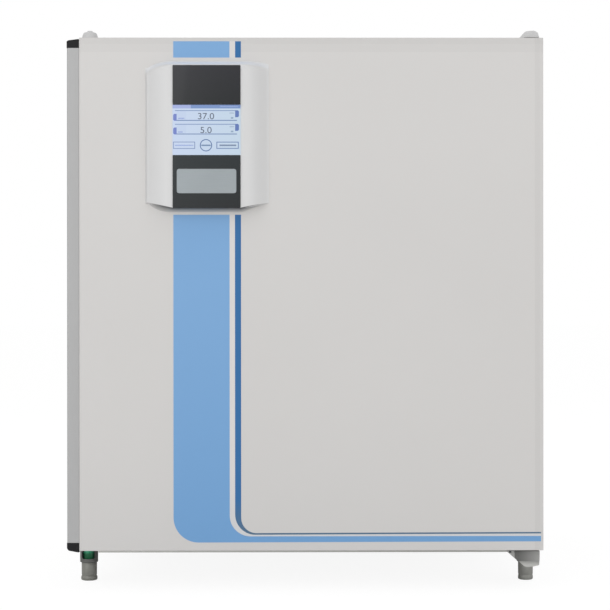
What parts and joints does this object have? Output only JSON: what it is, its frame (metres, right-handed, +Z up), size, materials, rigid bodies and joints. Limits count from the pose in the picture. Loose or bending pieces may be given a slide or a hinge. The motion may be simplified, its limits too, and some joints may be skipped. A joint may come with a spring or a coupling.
{
  "type": "carbon dioxide incubator",
  "caption": "Bench incubator with a thick insulated outer door, side grip, bulged touch console, inner glass door, stainless chamber with perforated shelves, and levelling feet.",
  "frame": {"origin": "on the floor plane, under the middle of the overall box in X and Y", "axes": "+Z up, the doors face -Y, +X to the right as seen from the front, hinges on the right"},
  "size_m": [0.78, 0.834, 0.934],
  "materials": {
    "white_paint": "satin powder coat",
    "stainless": "fine brushed",
    "grip_aluminium": "satin anodised",
    "black_plastic": "fine texture",
    "console_plastic": "satin moulded",
    "dark_glass": "gloss",
    "screen": "lit screen",
    "clear_glass": "clear",
    "seal_rubber": "matt",
    "silicone": "matt",
    "insulation_felt": "fibrous",
    "foot_metal": "olive grey coat",
    "bracket_metal": "grey coat",
    "brass": "turned"
  },
  "bodies": {
    "cabinet": {"outer_case": "white_paint", "rear_panel": "white_paint", "front_frame": "white_paint", "insulation_core": "insulation_felt", "chamber_liner": "stainless", "chamber_gasket": "silicone", "control_unit": "bracket_metal", "mains_inlet": "black_plastic", "gas_inlet": "brass", "purge_inlet": "brass", "port_tube": "silicone", "fan_motor": "bracket_metal", "fan_cover": "stainless", "sensor_head": "silicone", "shelf_rack_left": "stainless", "shelf_rack_right": "stainless", "glass_hinge_upper": "stainless", "glass_hinge_lower": "stainless", "hinge_bracket_upper": "bracket_metal", "hinge_cap": "console_plastic", "hinge_pin_upper": "stainless", "hinge_bracket_lower": "bracket_metal", "hinge_pin_lower": "stainless", "foot_collar_front_left": "bracket_metal", "foot_collar_front_right": "bracket_metal", "foot_collar_rear_left": "bracket_metal", "foot_collar_rear_right": "bracket_metal", "stacking_stud_front_left": "console_plastic", "stacking_stud_rear_left": "console_plastic", "stacking_stud_rear_right": "console_plastic"},
    "outer_door": {"door_skin": "white_paint", "door_liner": "white_paint", "door_insulation": "insulation_felt", "door_gasket": "seal_rubber", "hinge_bush_upper": "brass", "hinge_bush_lower": "brass", "handle_profile": "grip_aluminium", "handle_cap_upper": "black_plastic", "handle_cap_lower": "black_plastic", "console_housing": "console_plastic", "display_cover": "dark_glass", "touchscreen": "screen", "lower_plate": "dark_glass"},
    "glass_door": {"glass_pane": "clear_glass", "glass_clamp_upper": "stainless", "glass_clamp_lower": "stainless", "glass_knob": "black_plastic"},
    "shelf_1": {"shelf_1": "stainless"},
    "shelf_2": {"shelf_2": "stainless"},
    "shelf_3": {"shelf_3": "stainless"},
    "fan": {"fan_wheel": "bracket_metal"},
    "switch": {"switch_rocker": "black_plastic"},
    "port_plug": {"port_plug": "seal_rubber"},
    "door_switch": {"door_switch_plunger": "black_plastic"},
    "foot_front_left": {"foot_front_left": "foot_metal"},
    "foot_front_right": {"foot_front_right": "foot_metal"},
    "foot_rear_left": {"foot_rear_left": "foot_metal"},
    "foot_rear_right": {"foot_rear_right": "foot_metal"}
  },
  "joints": [
    {"name": "outer_door_hinge", "type": "hinge", "parent": "cabinet", "child": "outer_door", "pos_m": [0.375, -0.359, 0.484], "axis": [0, 0, 1], "range_deg": [0, 115]},
    {"name": "glass_door_hinge", "type": "hinge", "parent": "cabinet", "child": "glass_door", "pos_m": [0.3195, -0.3335, 0.48], "axis": [0, 0, 1], "range_deg": [0, 98]},
    {"name": "shelf_1_slide", "type": "slide", "parent": "cabinet", "child": "shelf_1", "axis": [0, -1, 0], "range_m": [0, 0.07]},
    {"name": "shelf_2_slide", "type": "slide", "parent": "cabinet", "child": "shelf_2", "axis": [0, -1, 0], "range_m": [0, 0.07]},
    {"name": "shelf_3_slide", "type": "slide", "parent": "cabinet", "child": "shelf_3", "axis": [0, -1, 0], "range_m": [0, 0.07]},
    {"name": "fan_spin", "type": "hinge", "parent": "cabinet", "child": "fan", "pos_m": [0.0035, 0.234, 0.69], "axis": [0, 1, 0], "continuous": true},
    {"name": "switch_rock", "type": "hinge", "parent": "cabinet", "child": "switch", "pos_m": [0.2735, 0.4048, 0.17288], "axis": [1, 0, 0], "range_deg": [0, 16]},
    {"name": "port_plug_pull", "type": "slide", "parent": "cabinet", "child": "port_plug", "axis": [0, 1, 0], "range_m": [0, 0.045]},
    {"name": "door_switch_travel", "type": "slide", "parent": "cabinet", "child": "door_switch", "axis": [0, -1, 0], "range_m": [0, 0.005]},
    {"name": "foot_front_left_travel", "type": "slide", "parent": "cabinet", "child": "foot_front_left", "axis": [0, 0, -1], "range_m": [0, 0.012]},
    {"name": "foot_front_right_travel", "type": "slide", "parent": "cabinet", "child": "foot_front_right", "axis": [0, 0, -1], "range_m": [0, 0.012]},
    {"name": "foot_rear_left_travel", "type": "slide", "parent": "cabinet", "child": "foot_rear_left", "axis": [0, 0, -1], "range_m": [0, 0.012]},
    {"name": "foot_rear_right_travel", "type": "slide", "parent": "cabinet", "child": "foot_rear_right", "axis": [0, 0, -1], "range_m": [0, 0.012]}
  ],
  "couplings": [
    {"joint": "glass_door_hinge", "follows": "outer_door_hinge", "ratio": 0.85},
    {"joint": "door_switch_travel", "follows": "outer_door_hinge", "m_per_rad": 0.0024}
  ]
}
